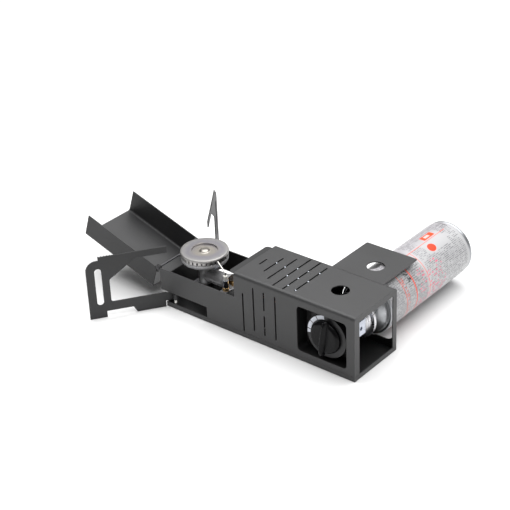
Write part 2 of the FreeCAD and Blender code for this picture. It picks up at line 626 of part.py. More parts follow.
def build_burner():
    neck_line = ("burner_across", "0")
    tube_line = ("0", "pipe_height")
    wall = "bowl_wall"
    solids = [rod("neck", "z", neck_line, "neck_radius", "neck_bottom", "bowl_bottom"),
              cone("bowl", "z", neck_line, "neck_radius", "bowl_radius", "bowl_bottom", "rim_bottom"),
              rod("rim", "z", neck_line, "bowl_radius", "rim_bottom", "rim_top"),
              rod("mixing_tube", "x", tube_line, "neck_radius", "burner_across", "mouth_left"),
              cone("mixing_mouth", "x", tube_line, "neck_radius", "mouth_radius", "mouth_left", "mouth_right")]
    hollows = [rod("neck_hollow", "z", neck_line, "neck_bore", f"neck_bottom + {wall}", "bowl_bottom"),
               cone("bowl_hollow", "z", neck_line, "neck_bore", f"bowl_radius - {wall}", "bowl_bottom",
                    "rim_bottom"),
               rod("rim_hollow", "z", neck_line, f"bowl_radius - {wall}", "rim_bottom", "rim_top + spare"),
               rod("tube_hollow", "x", tube_line, "neck_bore", "burner_across", "mouth_left"),
               cone("mouth_hollow", "x", tube_line, "neck_bore", "mouth_radius - 1.5", "mouth_left",
                    "mouth_right + 0.01")]
    sub_part("burner_body", cut("burner_body", fuse("burner_blank", solids), hollows))

    cap = new_body("cap_body")
    disc = sketch_on(cap, "cap_disc_sketch", "XY_Plane", "rim_top")
    circle(disc, "0", "0", "cap_radius")
    pad(cap, disc, "cap_top - rim_top")
    port = sketch_on(cap, "cap_port_sketch", "XY_Plane", "rim_top")
    rectangle(port, ("cap_radius - port_depth", "cap_radius + spare"), ("-port_width / 2", "port_width / 2"))
    slot = pocket(cap, port, "port_height", reverse=True)
    around = cap.newObject("PartDesign::PolarPattern", "cap_ports")
    around.Originals = [slot]
    around.Axis = (port, ["N_Axis"])
    around.Angle = 360
    around.Occurrences = 32
    cap.Tip = around
    document.recompute()
    dish = sketch_on(cap, "cap_dish_sketch", "XY_Plane", "cap_top")
    circle(dish, "0", "0", "cap_radius * 0.55")
    pocket(cap, dish, "bowl_wall")
    bind(cap, "Placement.Base.x", "burner_across")
    sub_part("burner_cap", cap)


def build_burner_bridge():
    """A bent strap that stands on the tray and carries the burner's neck."""
    depth = ("-bridge_side", "bridge_side")
    left = "burner_across - bridge_half"
    right = "burner_across + bridge_half"
    pieces = [box("bridge_deck", (left, right), depth, ("neck_bottom - plate", "neck_bottom")),
              box("bridge_left_leg", (left, f"{left} + plate"), depth, ("plate", "neck_bottom")),
              box("bridge_right_leg", (f"{right} - plate", right), depth, ("plate", "neck_bottom")),
              box("bridge_left_foot", (f"{left} - foot_length", f"{left} + plate"), depth, ("plate", "2 * plate")),
              box("bridge_right_foot", (f"{right} - plate", f"{right} + foot_length"), depth,
                  ("plate", "2 * plate"))]
    holes = []
    screws = []
    for index, (across, place) in enumerate(BURNER_SCREWS):
        holes.append(rod(f"bridge_hole_{index}", "z", (across, place), "screw_radius", "0", "3 * plate"))
        shank = rod(f"burner_shank_{index}", "z", (across, place), "screw_radius", "0.2", "2 * plate")
        head = rod(f"burner_head_{index}", "z", (across, place), "head_radius", "2 * plate",
                   "2 * plate + head_height")
        screws.append(fuse(f"burner_screw_{index}", [shank, head]))
    sub_part("burner_bridge", cut("burner_bridge", fuse("bridge_blank", pieces), holes))
    sub_part("burner_screws", fuse("burner_screws", screws))


def build_electrode():
    place = ("electrode_across", "electrode_depth")
    width = ("electrode_across - holder_half", "electrode_across + holder_half")
    foot = box("holder_foot", width, ("holder_front - 7", "holder_front + plate"), ("plate", "2 * plate"))
    post = box("holder_post", width, ("holder_front", "holder_front + plate"), ("plate", "holder_height + plate"))
    shelf = box("holder_shelf", width, ("holder_front", "holder_back"), ("holder_height", "holder_height + plate"))
    hole = rod("holder_hole", "z", place, "ceramic_radius", "holder_height - spare", "holder_height + 2 * plate")
    sub_part("electrode_holder", cut("electrode_holder", fuse("holder_blank", [foot, post, shelf]), [hole]))

    shelf_top = "holder_height + plate"
    gland = hex_bar("gland_block", "z", place, "gland_radius", shelf_top, f"{shelf_top} + gland_height")
    bore = rod("gland_bore", "z", place, "ceramic_radius", shelf_top + " - spare",
               f"{shelf_top} + gland_height + spare")
    sub_part("electrode_gland", cut("electrode_gland", gland, [bore]))
    sleeve = rod("sleeve_block", "z", place, "sleeve_radius", f"{shelf_top} + gland_height", "sleeve_top")
    sleeve_bore = rod("sleeve_bore", "z", place, "ceramic_radius", f"{shelf_top}", "sleeve_top + spare")
    sub_part("electrode_sleeve", cut("electrode_sleeve", sleeve, [sleeve_bore]))
    ceramic = rod("ceramic_block", "z", place, "ceramic_radius", "ceramic_bottom", "ceramic_top")
    wire_bore = rod("ceramic_bore", "z", place, "electrode_radius", "ceramic_bottom - spare",
                    "ceramic_top + spare")
    sub_part("electrode_insulator", cut("electrode_insulator", ceramic, [wire_bore]))

    radius = number("electrode_radius")
    bottom = Vector(number("electrode_across"), number("electrode_depth"), number("ceramic_bottom"))
    bend = Vector(bottom.x, bottom.y, number("electrode_top"))
    to_electrode = Vector(bottom.x - number("burner_across"), bottom.y, 0).normalize()
    tip = Vector(number("burner_across"), 0, number("tip_height")) + to_electrode * number("tip_reach")
    stem = Part.makeCylinder(radius, bend.z - bottom.z, bottom, Vector(0, 0, 1))
    finger = Part.makeCylinder(radius, (tip - bend).Length, bend, tip - bend)
    wire = document.addObject("Part::Feature", "igniter_electrode")
    wire.Shape = stem.fuse([Part.makeSphere(radius, bend), finger]).removeSplitter()
    sub_part("igniter_electrode", wire)

    target = document.addObject("Part::Feature", "ignition_target")
    width = number("target_width")
    rim = number("bowl_radius")
    reach = number("target_reach")
    plate = number("plate")
    ledge = Part.makeBox(reach - rim + 1, width, plate, Vector(rim - 1, -width / 2, number("rim_bottom")))
    upstand = Part.makeBox(plate, width, number("rim_top - rim_bottom"),
                           Vector(reach - plate, -width / 2, number("rim_bottom")))
    keep_out = Part.makeCylinder(rim, number("body_height"))
    target.Shape = ledge.fuse(upstand).cut(keep_out).removeSplitter()
    turn = Rotation(Vector(0, 0, 1), math.degrees(math.atan2(to_electrode.y, to_electrode.x)))
    target.Placement = Placement(Vector(number("burner_across"), 0, 0), turn)
    sub_part("ignition_target", target)


# ---------------------------------------------------------------- lid

def build_lid():
    """Drawn closed over the burner bay, then opened about its hinge rod."""
    outer, inner = bent_channel("lid", ("body_left", "lid_right"), "lid_edge")
    channel = cut("lid_channel", outer, [inner])
    hinge = ("hinge_across", "hinge_height")
    relief = rod("lid_relief", "y", hinge, "ear_relief", "-half_width - spare", "half_width + spare")
    cover = cut("lid_cover", channel, [relief])
    pieces = [cover]
    for side, near, far in (("front", "-ear_outer", "-ear_inner"), ("back", "ear_inner", "ear_outer")):
        wall = ("-half_width + plate", "-ear_outer") if side == "front" else ("ear_outer", "half_width - plate")
        pieces.append(rod(f"lid_{side}_ear", "y", hinge, "ear_radius + 0.4", near, far))
        pieces.append(box(f"lid_{side}_ear_arm", ("hinge_across", "body_left + 8"), (near, far),
                          ("hinge_height + 0.9", "hinge_height + 8")))
        pieces.append(box(f"lid_{side}_ear_joggle", ("body_left + 3", "body_left + 8"), wall,
                          ("hinge_height + 0.9", "hinge_height + 8")))
    bore = rod("lid_bore", "y", hinge, "rod_bore", "-half_width", "half_width")
    lid = cut("burner_lid", fuse("lid_blank", pieces), [bore])
    pivot = Vector(number("hinge_across"), 0, number("hinge_height"))
    turn_about(lid, pivot, Vector(0, 1, 0), -number("lid_open"))
    sub_part("burner_lid", lid)

    pieces = [rod("hinge_shaft", "y", hinge, "rod_radius", "-half_width - spare", "half_width + spare")]
    pieces.append(rod("hinge_front_head", "y", hinge, "rod_head", "-half_width - spare", "-half_width"))
    pieces.append(rod("hinge_back_head", "y", hinge, "rod_head", "half_width", "half_width + spare"))
    sub_part("lid_hinge_rod", fuse("lid_hinge_rod", pieces))


# ---------------------------------------------------------------- arms

def arm_outline():
    """Outline of an arm plate: distance from its outer foot corner, and height."""
    outline = [("0", "0"), ("0", "arm_shoulder"), ("step_at", "arm_shoulder")]
    for tooth in range(5):
        outline.append((f"step_at + {tooth} * tooth_pitch", "tooth_top"))
        outline.append((f"step_at + {tooth + 0.6} * tooth_pitch", "arm_top"))
        if tooth < 4:
            outline.append((f"step_at + {tooth + 0.9} * tooth_pitch", "arm_top"))
    outline += [("arm_inner", "arm_top"), ("arm_inner", "rail_bottom"), ("rail_start", "rail_bottom"),
                ("brace_mid", "brace_height"), ("post_inner", "brace_bottom"), ("post_inner", "beam_top"),
                ("heel_end", "beam_top"), ("heel_end + 2", "knuckle_top"), ("beam_end", "knuckle_top"),
                ("beam_end", "beam_bottom"), ("heel_end", "beam_bottom"), ("heel_end", "0"),
                ("heel_start + 2", "0"), ("heel_start - 2", "beam_bottom"), ("foot_width", "beam_bottom"),
                ("foot_width", "0")]
    return outline


def build_arms():
    """Front arm drawn in its own plane, with the knuckle beside it; the rear arm is its mirror image."""
    angle = math.radians(number("arm_angle"))
    along = Vector(math.cos(angle), math.sin(angle), 0)
    aside = Vector(-math.sin(angle), math.cos(angle), 0)
    corner = Vector(number("burner_across"), 0, 0) - along * number("arm_reach")
    pin = Vector(number("pin_across"), number("pin_depth"), 0) - corner
    pin_along = round(pin.dot(along), 3)
    pin_aside = round(pin.dot(aside), 3)
    print("arm pin: %.2f mm along the plate, %.2f mm beside it" % (pin_along, pin_aside))

    arm = new_body("arm_body")
    outline = sketch_on(arm, "arm_outline", "XZ_Plane")
    polygon(outline, arm_outline())
    pad(arm, outline, "arm_plate", midplane=True)
    slot = sketch_on(arm, "arm_slot", "XZ_Plane")
    rectangle(slot, ("slot_left", "slot_right"), ("slot_bottom", "slot_top"))
    pocket(arm, slot, "arm_plate + 2 * spare", midplane=True)

    def at(across, up):
        return (number(across), number(up))

    slot_corners = [at(across, up) for across in ("slot_left", "slot_right") for up in ("slot_bottom", "slot_top")]
    round_corners(arm, "arm_slot_ends", "y", slot_corners, "(slot_right - slot_left) * 0.49")
    round_corners(arm, "arm_shoulder_round", "y", [at("0", "arm_shoulder")], "13")
    round_corners(arm, "arm_small_rounds", "y", [at("post_inner", "beam_top"), at("post_inner", "brace_bottom"),
                                                at("rail_start", "rail_bottom"), at("heel_start + 2", "0")], "3")
    knuckle = sketch_on(arm, "arm_knuckle", "XY_Plane", "knuckle_bottom")
    circle(knuckle, str(pin_along), str(pin_aside), "knuckle_radius")
    pad(arm, knuckle, "knuckle_top - knuckle_bottom")
    web = sketch_on(arm, "arm_web", "XY_Plane", "knuckle_bottom")
    rectangle(web, (f"{pin_along} - arm_plate / 2", f"{pin_along} + arm_plate / 2"), (f"{pin_aside} + 2", "0"))
    pad(arm, web, "knuckle_top - knuckle_bottom")
    bore = sketch_on(arm, "arm_bore", "XY_Plane", "knuckle_top")
    circle(bore, str(pin_along), str(pin_aside), "knuckle_bore")
    pocket(arm, bore, "knuckle_top - knuckle_bottom + spare")
    arm.Placement = Placement(corner, Rotation(Vector(0, 0, 1), number("arm_angle")))
    sub_part("front_arm", arm)
    document.recompute()
    sub_part("rear_arm", mirrored("rear_arm_copy", arm))

    line = ("pin_across", "pin_depth")
    shaft = rod("pin_shaft", "z", line, "pin_radius", "plate", "support_bottom + plate + 0.8")
    collar = rod("pin_collar_ring", "z", line, "pin_collar", "plate", "collar_top")
    front_pin = sub_part("front_arm_pin", fuse("front_arm_pin", [shaft, collar]))
    sub_part("rear_arm_pin", mirrored("rear_pin_copy", front_pin))

    width = ("pin_across - support_half", "pin_across + support_half")
    shelf = box("support_shelf", width, ("plate - half_width", "plate - half_width + support_depth"),
                ("support_bottom", "support_bottom + plate"))
    leaf = box("support_leaf", width, ("plate - half_width", "2 * plate - half_width"),
               ("support_bottom", "support_top"))
    hole = rod("support_hole", "z", line, "pin_radius", "support_bottom - spare", "support_bottom + 2 * plate")
    front_support = sub_part("front_pin_support", cut("front_pin_support", fuse("support_blank", [shelf, leaf]),
                                                      [hole]))
    sub_part("rear_pin_support", mirrored("rear_support_copy", front_support))


# ---------------------------------------------------------------- heat shield

def build_heat_shield():
    shield = new_body("shield_body")
    outline = sketch_on(shield, "shield_outline", "XY_Plane", "shield_bottom")
    polygon(outline, [("shield_left - stop_width", "shield_inner"), ("shield_right + stop_width", "shield_inner"),
                      ("shield_right + stop_width", "shield_inner + stop_length"),
                      ("shield_right", "shield_inner + stop_length"), ("shield_right", "shield_outer"),
                      ("shield_left", "shield_outer"), ("shield_left", "shield_inner + stop_length"),
                      ("shield_left - stop_width", "shield_inner + stop_length")])
    pad(shield, outline, "shield_top - shield_bottom")
    hole = sketch_on(shield, "shield_hole_sketch", "XY_Plane", "shield_top")
    circle(hole, "finger_across", "shield_hole", "finger_radius")
    pocket(shield, hole, "plate + spare")
    corners = [(number(across), number("shield_outer")) for across in ("shield_left", "shield_right")]
    round_corners(shield, "shield_corners", "z", corners, "2")
    sub_part("heat_shield", shield)

    guides = []
    for side, wall, shelf in (("left", ("guide_left", "guide_left + plate"),
                               ("guide_left", "guide_left + guide_width")),
                              ("right", ("guide_right - plate", "guide_right"),
                               ("guide_right - guide_width", "guide_right"))):
        depth = ("bend_radius + plate - half_width", "half_width - bend_radius - plate")
        upright = box(f"guide_{side}_wall", wall, depth, ("guide_bottom", "body_height - plate"))
        ledge = box(f"guide_{side}_ledge", shelf, depth, ("guide_bottom", "guide_bottom + plate"))
        guides.append(fuse(f"guide_{side}", [upright, ledge]))
    sub_part("shield_guides", fuse("shield_guides", guides))


# ---------------------------------------------------------------- cartridge

def build_cartridge():
    axis = ("axis_across", "axis_height")
    outside = rod("can_outside", "y", axis, "can_radius", "can_front", "can_back")
    inside = rod("can_inside", "y", axis, "can_radius - can_wall", "can_front - spare", "can_back + spare")
    sub_part("cartridge_shell", cut("cartridge_shell", outside, [inside]))

    dome = cone("dome_outside", "y", axis, "dome_radius", "dome_outer", "dome_front", "dome_back")
    lip = rod("dome_lip", "y", axis, "can_radius", "can_front - 0.8", "can_front")
    neck = rod("dome_neck", "y", axis, "dome_outer", "dome_back", "can_front")
    seam = ring("dome_seam", "y", axis, "seam_radius", "seam_tube", "can_front - seam_tube")
    hollow = cone("dome_inside", "y", axis, "dome_radius - 1.5", "dome_outer - 1", "dome_front - 0.01",
                  "dome_back")
    back_hollow = rod("dome_back_hollow", "y", axis, "dome_outer - 1", "dome_back", "can_front + spare")
    blank = fuse("dome_blank", [dome, lip, neck, seam])
    sub_part("cartridge_shoulder", cut("cartridge_shoulder", blank, [hollow, back_hollow]))

    rim = ring("base_rim", "y", axis, "seam_radius", "seam_tube", "can_end - seam_tube")
    band = rod("base_band", "y", axis, "seam_radius", "can_back", "can_end - seam_tube")
    lip = rod("base_lip", "y", axis, "can_radius", "can_back", "can_back + 0.8")
    hollow = rod("base_front_hollow", "y", axis, "seam_radius - 1", "can_back - spare", "can_back + 0.01")
    dished = cone("base_dish", "y", axis, "8", "seam_radius - seam_tube + 0.4", "can_back + 0.6",
                  "can_end + 0.01")
    sub_part("cartridge_base", cut("cartridge_base", fuse("base_blank", [rim, band, lip]), [hollow, dished]))

    cup = rod("valve_cup", "y", axis, "collar_radius", "collar_front", "dome_front")
    plug = rod("valve_plug", "y", axis, "dome_radius - 1.5", "dome_front", "dome_front + 1.2")
    roll = ring("valve_roll", "y", axis, "collar_radius", "1.2", "collar_front + 1.2")
    stem = rod("valve_stem", "y", axis, "stem_radius", "stem_tip", "dome_front")
    well_tool = cut("valve_well", rod("valve_well_outside", "y", axis, "collar_radius - 2", "collar_front - spare",
                                      "dome_front - 3"),
                    [rod("valve_well_inside", "y", axis, "stem_radius + 2.5", "collar_front - 2 * spare",
                         "dome_front")])
    sub_part("cartridge_valve", cut("cartridge_valve", fuse("valve_parts", [cup, plug, roll, stem]), [well_tool]))


def write_parts():
    """Stop on anything that failed to build, then write one file per sub-part."""
    document.recompute()
    for thing in document.Objects:
        if "Invalid" in thing.State or "Error" in thing.State:
            raise RuntimeError(f"{thing.Name} failed: {thing.State}")
    os.makedirs("parts", exist_ok=True)
    for thing in parts:
        shape = thing.Shape
        if shape.isNull() or not shape.isValid() or not shape.Solids:
            raise RuntimeError(f"{thing.Label} has no valid solid")
        shape.exportStep(f"parts/{thing.Label}.step")
        print("%-20s %d solid(s) %9.1f mm3" % (thing.Label, len(shape.Solids), shape.Volume))


build_top_shell()
build_bottom_tray()
build_bay_wall()
build_control_panel()
build_dial_marks()
build_control_knob()
build_spindle()
build_regulator()
build_piezo()
build_ignition_lead()
build_gas_line()
build_burner()
build_burner_bridge()
build_electrode()
build_lid()
build_arms()
build_heat_shield()
build_cartridge()
write_parts()
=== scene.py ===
import math

import bmesh
import bpy
from mathutils import Matrix, Vector


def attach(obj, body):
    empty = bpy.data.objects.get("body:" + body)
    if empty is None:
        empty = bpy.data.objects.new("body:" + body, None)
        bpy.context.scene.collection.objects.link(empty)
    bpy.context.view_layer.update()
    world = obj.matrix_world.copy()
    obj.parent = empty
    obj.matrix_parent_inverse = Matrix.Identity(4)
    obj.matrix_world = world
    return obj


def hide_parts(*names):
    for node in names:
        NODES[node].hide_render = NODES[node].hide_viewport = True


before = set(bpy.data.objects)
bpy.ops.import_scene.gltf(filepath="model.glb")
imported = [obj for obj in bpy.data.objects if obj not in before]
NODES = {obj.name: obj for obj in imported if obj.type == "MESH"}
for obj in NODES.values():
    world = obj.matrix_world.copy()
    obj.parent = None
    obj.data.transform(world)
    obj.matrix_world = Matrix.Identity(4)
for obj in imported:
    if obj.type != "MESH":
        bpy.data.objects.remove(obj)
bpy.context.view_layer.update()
MM = 0.001
AXIS = Vector((0.0995, 0.0, 0.041))      # the knob, regulator and cartridge share this line along Y
# Inside faces of the body, where painted shade darkens the coat.
INNER_HALF_DEPTH, INNER_FLOOR, INNER_TOP, INNER_END = 0.03838, 0.0008, 0.0789, 0.1385


# ---------------------------------------------------------------- material helpers

class Graph:
    """A material's node tree with short calls for the nodes it needs."""

    def __init__(self, name):
        self.material = bpy.data.materials.new(name)
        self.material.use_nodes = True
        self.tree = self.material.node_tree
        self.shader = self.tree.nodes["Principled BSDF"]
        self.place = self.tree.nodes.new("ShaderNodeTexCoord").outputs["Object"]

    def feed(self, socket, value):
        if isinstance(value, bpy.types.NodeSocket):
            self.tree.links.new(value, socket)
        elif isinstance(value, (tuple, list)) and socket.type == "RGBA" and len(value) == 3:
            socket.default_value = (*value, 1.0)
        else:
            socket.default_value = value

    def math(self, operation, *values, clamp=False):
        node = self.tree.nodes.new("ShaderNodeMath")
        node.operation = operation
        node.use_clamp = clamp
        for socket, value in zip(node.inputs, values):
            self.feed(socket, value)
        return node.outputs[0]

    def split(self, vector):
        node = self.tree.nodes.new("ShaderNodeSeparateXYZ")
        self.feed(node.inputs[0], vector)
        return node.outputs

    def join(self, x, y, z):
        node = self.tree.nodes.new("ShaderNodeCombineXYZ")
        for socket, value in zip(node.inputs, (x, y, z)):
            self.feed(socket, value)
        return node.outputs[0]

    def stretch(self, scale):
        node = self.tree.nodes.new("ShaderNodeMapping")
        self.feed(node.inputs["Vector"], self.place)
        node.inputs["Scale"].default_value = scale
        return node.outputs[0]

    def noise(self, scale, detail=3.0, rough=0.5, vector=None):
        node = self.tree.nodes.new("ShaderNodeTexNoise")
        self.feed(node.inputs["Vector"], self.place if vector is None else vector)
        node.inputs["Scale"].default_value = scale
        node.inputs["Detail"].default_value = detail
        node.inputs["Roughness"].default_value = rough
        return node.outputs["Fac"]

    def cells(self, scale, vector=None):
        node = self.tree.nodes.new("ShaderNodeTexVoronoi")
        self.feed(node.inputs["Vector"], self.place if vector is None else vector)
        node.inputs["Scale"].default_value = scale
        return node.outputs["Distance"]

    def scatter(self, vector):
        node = self.tree.nodes.new("ShaderNodeTexWhiteNoise")
        self.feed(node.inputs["Vector"], vector)
        return node.outputs["Value"]

    def ramp(self, value, *stops):
        node = self.tree.nodes.new("ShaderNodeValToRGB")
        self.feed(node.inputs[0], value)
        elements = node.color_ramp.elements
        while len(elements) < len(stops):
            elements.new(0.5)
        for element, (place, colour) in zip(elements, stops):
            element.position = place
            shade = (colour, colour, colour) if isinstance(colour, (int, float)) else colour
            element.color = (*shade, 1.0)
        return node.outputs[0]

    def mix(self, factor, low, high):
        node = self.tree.nodes.new("ShaderNodeMix")
        node.data_type = "RGBA"
        self.feed(node.inputs[0], factor)
        self.feed(node.inputs[6], low)
        self.feed(node.inputs[7], high)
        return node.outputs[2]

    def range(self, value, low, high, to_low=0.0, to_high=1.0):
        node = self.tree.nodes.new("ShaderNodeMapRange")
        for socket, number in zip(node.inputs, (value, low, high, to_low, to_high)):
            self.feed(socket, number)
        return node.outputs[0]

    def soft_edges(self, radius=0.0005):
        """A normal that looks rounded at hard edges, and a mask of where those edges are."""
        bevel = self.tree.nodes.new("ShaderNodeBevel")
        bevel.samples = 4
        bevel.inputs["Radius"].default_value = radius
        plain = self.tree.nodes.new("ShaderNodeNewGeometry").outputs["Normal"]
        dot = self.tree.nodes.new("ShaderNodeVectorMath")
        dot.operation = "DOT_PRODUCT"
        self.feed(dot.inputs[0], bevel.outputs[0])
        self.feed(dot.inputs[1], plain)
        return bevel.outputs[0], self.range(dot.outputs["Value"], 0.995, 0.86)

    def bump(self, height, strength, distance, normal=None):
        node = self.tree.nodes.new("ShaderNodeBump")
        node.inputs["Strength"].default_value = strength
        node.inputs["Distance"].default_value = distance
        self.feed(node.inputs["Height"], height)
        if normal is not None:
            self.feed(node.inputs["Normal"], normal)
        return node.outputs[0]

    def finish(self, colour, roughness, metallic=0.0, normal=None, coat=0.0, specular=0.5):
        self.feed(self.shader.inputs["Base Color"], colour)
        self.feed(self.shader.inputs["Roughness"], roughness)
        self.feed(self.shader.inputs["Metallic"], metallic)
        self.shader.inputs["Specular IOR Level"].default_value = specular
        self.shader.inputs["Coat Weight"].default_value = coat
        self.shader.inputs["Coat Roughness"].default_value = 0.12
        if normal is not None:
            self.feed(self.shader.inputs["Normal"], normal)
        return self.material


def powder_coat(name, tone, roughness=0.42, paint_inner_shade=False):
    """Baked powder coat: fine grain, faint clouds, lighter rubbed edges, and painted shade on the body's inside
    faces.
    """
    g = Graph(name)
    normal, edge = g.soft_edges(0.0006)
    cloud = g.noise(18.0, 4.0, 0.55)
    grain = g.noise(2600.0, 2.0, 0.6)
    speck = g.range(g.cells(900.0), 0.0, 0.35)
    base = g.mix(g.range(cloud, 0.35, 0.7), tuple(0.9 * c for c in tone), tuple(1.12 * c for c in tone))
    base = g.mix(g.math("MULTIPLY", g.range(grain, 0.55, 0.75), 0.35), base, tuple(1.7 * c for c in tone))
    rubbed = g.math("MULTIPLY", edge, g.range(g.noise(210.0, 3.0), 0.35, 0.65, 0.25, 0.8))
    base = g.mix(g.math("MULTIPLY", rubbed, 0.55), base, tuple(min(1.0, 2.4 * c + 0.03) for c in tone))
    if paint_inner_shade:
        # painted shade: the body's inside faces are darkened to near black
        x, y, z = g.split(g.place)
        inside_shade = g.math("MULTIPLY", g.math("LESS_THAN", g.math("ABSOLUTE", y), INNER_HALF_DEPTH),
                       g.math("MULTIPLY", g.math("LESS_THAN", z, INNER_TOP),
                              g.math("GREATER_THAN", z, INNER_FLOOR)))
        inside_shade = g.math("MULTIPLY", inside_shade, g.math("LESS_THAN", x, INNER_END))
        base = g.mix(g.math("MULTIPLY", inside_shade, 0.8), base, (0.003, 0.003, 0.003))
    rough = g.math("ADD", g.range(cloud, 0.3, 0.7, roughness - 0.05, roughness + 0.06),
                   g.math("MULTIPLY", grain, 0.06))
    height = g.math("ADD", g.math("MULTIPLY", grain, 0.6), g.math("MULTIPLY", speck, 0.4))
    return g.finish(base, rough, 0.0, g.bump(height, 0.22, 0.00012, normal))


def recessed_panel(name, tone):
    """Powder-coated dial plate in a pocket whose sides carry painted shade."""
    g = Graph(name)
    x, y, z = g.split(g.place)
    normal, edge = g.soft_edges(0.0006)
    plate = g.math("MULTIPLY", g.range(x, 0.0688, 0.0690), g.range(z, 0.0172, 0.0174))
    front = g.range(y, -0.0214, -0.0210)
    boss = g.math("LESS_THAN", y, -0.0220)
    inside = g.math("MULTIPLY", g.range(x, 0.0630, 0.0634), g.range(z, 0.0128, 0.0132))
    lit = g.math("MULTIPLY", inside, g.math("MAXIMUM", boss, g.math("MULTIPLY", plate, g.math("ADD", front, 0.6),
                                                                    clamp=True)))
    grain = g.noise(2400.0, 2.0, 0.6)
    cloud = g.noise(30.0, 3.0)
    shade = g.mix(g.range(cloud, 0.35, 0.7), tuple(0.9 * c for c in tone), tuple(1.15 * c for c in tone))
    shade = g.mix(g.math("MULTIPLY", g.range(grain, 0.55, 0.75), 0.3), shade, tuple(1.6 * c for c in tone))
    shade = g.mix(g.math("MULTIPLY", edge, 0.25), shade, tuple(2.0 * c for c in tone))
    shade = g.mix(boss, shade, (0.010, 0.010, 0.011))
    # painted shade: where lit is below one, the pocket's sides and the plate's front lip go to near black
    return g.finish(g.mix(lit, (0.004, 0.004, 0.004), shade), g.range(cloud, 0.3, 0.7, 0.42, 0.52), 0.0,
                    g.bump(grain, 0.2, 0.0001, normal))


def metal(name, tone, roughness=0.25, grain=(40.0, 40.0, 1400.0), wear=0.25, radius=0.0004):
    """Bare metal with drawn or cast grain, faint stains and brighter edges."""
    g = Graph(name)
    normal, edge = g.soft_edges(radius)
    lines = g.noise(1.0, 3.0, 0.6, g.stretch(grain))
    stain = g.noise(60.0, 4.0, 0.6)
    base = g.mix(g.range(stain, 0.35, 0.75), tone, tuple(c * (1 - wear) for c in tone))
    base = g.mix(g.math("MULTIPLY", edge, 0.5), base, tuple(min(1.0, c * 1.25) for c in tone))
    rough = g.math("ADD", g.range(lines, 0.3, 0.7, roughness * 0.75, roughness * 1.3),
                   g.math("MULTIPLY", g.range(stain, 0.45, 0.7), 0.08))
    return g.finish(base, rough, 1.0, g.bump(lines, 0.12, 0.00006, normal))


def cast(name, tone, metallic, roughness):
    """Sand or die cast skin: pebbled, with darker hollows."""
    g = Graph(name)
    normal, edge = g.soft_edges(0.0007)
    pebble = g.noise(700.0, 4.0, 0.65)
    patch = g.noise(45.0, 3.0, 0.5)
    base = g.mix(g.range(pebble, 0.35, 0.65), tuple(c * 0.8 for c in tone), tone)
    base = g.mix(g.math("MULTIPLY", g.range(patch, 0.5, 0.75), 0.4), base, tuple(c * 0.7 for c in tone))
    base = g.mix(g.math("MULTIPLY", edge, 0.45), base, tuple(min(1.0, c * 1.3) for c in tone))
    return g.finish(base, g.range(patch, 0.3, 0.7, roughness, roughness + 0.15), metallic,
                    g.bump(pebble, 0.3, 0.00015, normal))


def plastic(name, tone, roughness, coat=0.0, mottled=0.08, spark=900.0, sleeve_from=None, specular=0.5):
    """Moulded plastic or rubber: faint flow marks, very fine grain, a few scuffs."""
    g = Graph(name)
    normal, edge = g.soft_edges(0.0005)
    flow = g.noise(70.0, 3.0, 0.5)
    grain = g.noise(spark, 2.0, 0.5)
    base = g.mix(flow, tuple(c * (1 - mottled) for c in tone), tuple(c * (1 + mottled) for c in tone))
    scuff = g.range(g.noise(1.0, 4.0, 0.7, g.stretch((300.0, 900.0, 120.0))), 0.62, 0.72)
    base = g.mix(g.math("MULTIPLY", scuff, 0.3), base, tuple(min(1.0, c * 1.3 + 0.015) for c in tone))
    base = g.mix(g.math("MULTIPLY", edge, 0.3), base, tuple(min(1.0, c * 1.6 + 0.015) for c in tone))
    if sleeve_from is not None:
        base = g.mix(g.range(g.split(g.place)[0], sleeve_from, sleeve_from + 0.0005), base, (0.012, 0.012, 0.013))
    rough = g.math("ADD", g.range(grain, 0.3, 0.7, roughness - 0.03, roughness + 0.05),
                   g.math("MULTIPLY", scuff, 0.12))
    return g.finish(base, rough, 0.0, g.bump(grain, 0.08, 0.00008, normal), coat, specular)


def heat_tinted(name):
    """Stainless steel round a flame: straw and blue bands that change with distance from the burner's axis."""
    g = Graph(name)
    normal = g.soft_edges(0.0006)[0]
    x, y = g.split(g.place)[:2]
    far = g.math("SQRT", g.math("ADD", g.math("POWER", g.math("ADD", x, 0.103), 2.0), g.math("POWER", y, 2.0)))
    heat = g.math("ADD", g.math("MULTIPLY", far, 28.0), g.math("MULTIPLY", g.noise(60.0, 4.0), 0.35))
    tint = g.ramp(heat, (0.0, (0.36, 0.35, 0.33)), (0.45, (0.40, 0.37, 0.33)), (0.72, (0.31, 0.30, 0.33)),
                  (0.95, (0.42, 0.41, 0.40)))
    scratch = g.noise(1.0, 3.0, 0.6, g.stretch((900.0, 900.0, 900.0)))
    return g.finish(tint, g.range(scratch, 0.3, 0.7, 0.28, 0.45), 1.0, g.bump(scratch, 0.15, 0.00006, normal))


